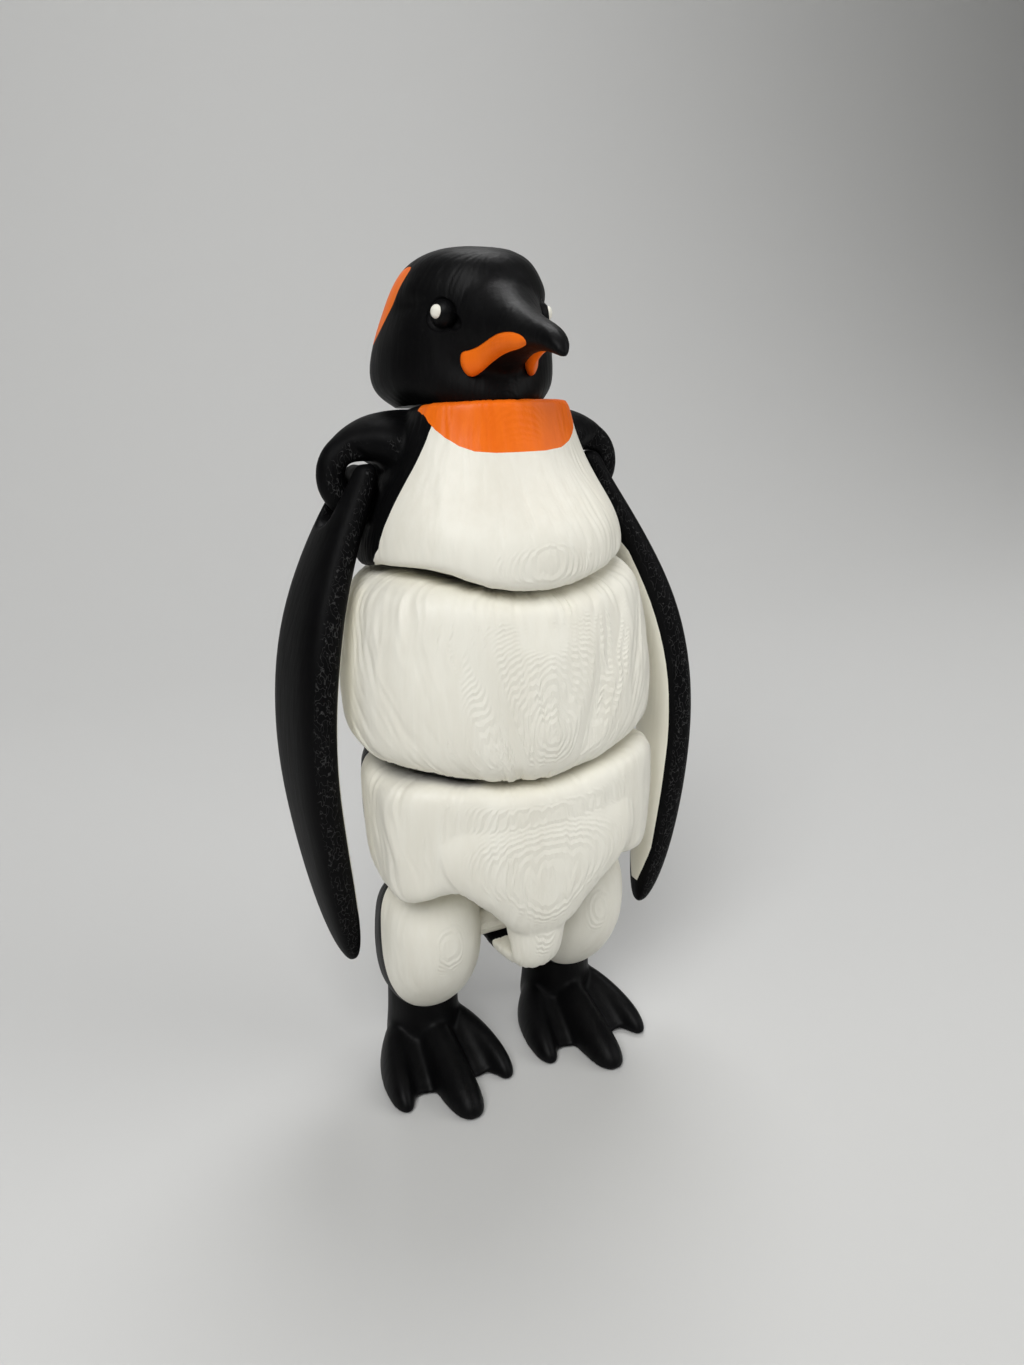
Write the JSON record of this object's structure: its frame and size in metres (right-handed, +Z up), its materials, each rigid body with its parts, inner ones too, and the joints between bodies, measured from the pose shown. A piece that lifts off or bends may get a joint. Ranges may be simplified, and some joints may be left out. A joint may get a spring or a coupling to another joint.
{
  "type": "toy penguin figure",
  "caption": "Standing articulated toy penguin in black, white and orange printed plastic: hinged stacked trunk, turning head, flippers hung on shoulder rings and legs on hip axles.",
  "frame": {"origin": "on the ground, under the middle of the figure's box", "axes": "+Z up, -Y the way the bill points, +X the figure's left"},
  "size_m": [0.1066, 0.064, 0.2015],
  "materials": {
    "black_plastic": "satin printed plastic with fine layer lines",
    "white_plastic": "satin printed plastic with fine layer lines",
    "orange_plastic": "satin printed plastic with fine layer lines"
  },
  "bodies": {
    "hips": {"hips_front": "white_plastic", "hips_back": "black_plastic", "lower_waist_pin": "black_plastic"},
    "belly": {"belly_front": "white_plastic", "belly_back": "black_plastic", "belly_tongue": "black_plastic", "upper_waist_pin": "black_plastic"},
    "chest": {"chest_front": "white_plastic", "chest_back": "black_plastic", "throat_bib": "orange_plastic", "chest_tongue": "black_plastic", "neck_stud": "black_plastic"},
    "head": {"head_shell": "black_plastic", "right_eye": "white_plastic", "left_eye": "white_plastic", "right_bill_plate": "orange_plastic", "left_bill_plate": "orange_plastic", "right_ear_patch": "orange_plastic", "left_ear_patch": "orange_plastic"},
    "right_flipper_body": {"right_flipper": "black_plastic", "right_flipper_lining": "white_plastic"},
    "left_flipper_body": {"left_flipper": "black_plastic", "left_flipper_lining": "white_plastic"},
    "right_leg_body": {"right_thigh_front": "white_plastic", "right_leg": "black_plastic", "right_hip_axle": "white_plastic"},
    "left_leg_body": {"left_thigh_front": "white_plastic", "left_leg": "black_plastic", "left_hip_axle": "white_plastic"}
  },
  "joints": [
    {"name": "lower_waist", "type": "hinge", "parent": "hips", "child": "belly", "pos_m": [-0.00033, 0.00243, 0.0744], "axis": [0, 1, 0], "range_deg": [-1.8, 1.8]},
    {"name": "upper_waist", "type": "hinge", "parent": "belly", "child": "chest", "pos_m": [-0.00033, 0.00243, 0.1191], "axis": [0, 1, 0], "range_deg": [-1.8, 1.8]},
    {"name": "neck", "type": "hinge", "parent": "chest", "child": "head", "pos_m": [-0.00033, 0.01043, 0.16754], "axis": [0, 0.1132, 0.9936], "continuous": true},
    {"name": "right_shoulder", "type": "hinge", "parent": "chest", "child": "right_flipper_body", "pos_m": [-0.02913, 0.01143, 0.1524], "axis": [0, 1, 0], "range_deg": [0, 100]},
    {"name": "left_shoulder", "type": "hinge", "parent": "chest", "child": "left_flipper_body", "pos_m": [0.02847, 0.01143, 0.1524], "axis": [0, -0.9962, 0.0872], "range_deg": [0, 100]},
    {"name": "right_hip", "type": "hinge", "parent": "hips", "child": "right_leg_body", "pos_m": [-0.00833, -0.00657, 0.041], "axis": [-1, 0, 0], "range_deg": [-8, 25]},
    {"name": "left_hip", "type": "hinge", "parent": "hips", "child": "left_leg_body", "pos_m": [0.00767, -0.00657, 0.041], "axis": [-1, 0, 0], "range_deg": [-8, 25]}
  ]
}
